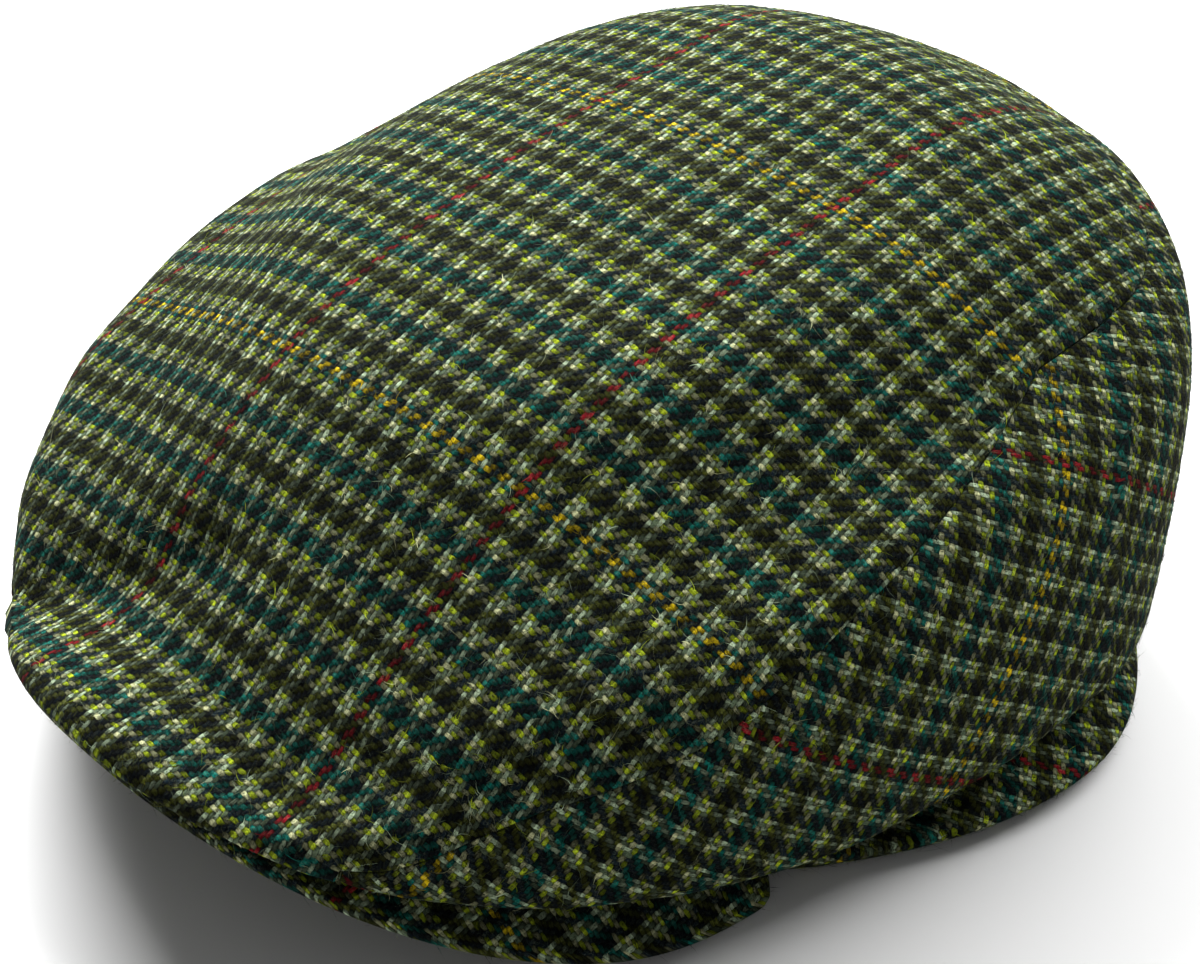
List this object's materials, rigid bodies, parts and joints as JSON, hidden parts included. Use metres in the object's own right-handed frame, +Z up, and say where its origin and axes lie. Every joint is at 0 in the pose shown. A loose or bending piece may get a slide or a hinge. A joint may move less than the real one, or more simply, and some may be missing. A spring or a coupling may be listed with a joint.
{
  "type": "flat cap",
  "caption": "Flat cap in wool tweed: a one-piece top drawn forward over a stiff arched peak, with two side panels, open below for the head.",
  "frame": {"origin": "centre of the cap's box from above, on the level of the hem it rests on", "axes": "+Z up, -Y forwards (towards the peak), +X to the wearer's left"},
  "size_m": [0.2422, 0.2626, 0.1154],
  "materials": {
    "tweed_top": "wool guncheck tweed in teal, olive, navy, cream, pale blue and chartreuse, with thin red and gold overchecks",
    "tweed_side": "the same wool guncheck tweed, cut for the side panels",
    "tweed_peak": "the same wool guncheck tweed, stretched over the peak board"
  },
  "bodies": {
    "root": {"crown_top_panel": "tweed_top", "side_panel_left": "tweed_side", "side_panel_right": "tweed_side", "peak": "tweed_peak"}
  },
  "joints": []
}
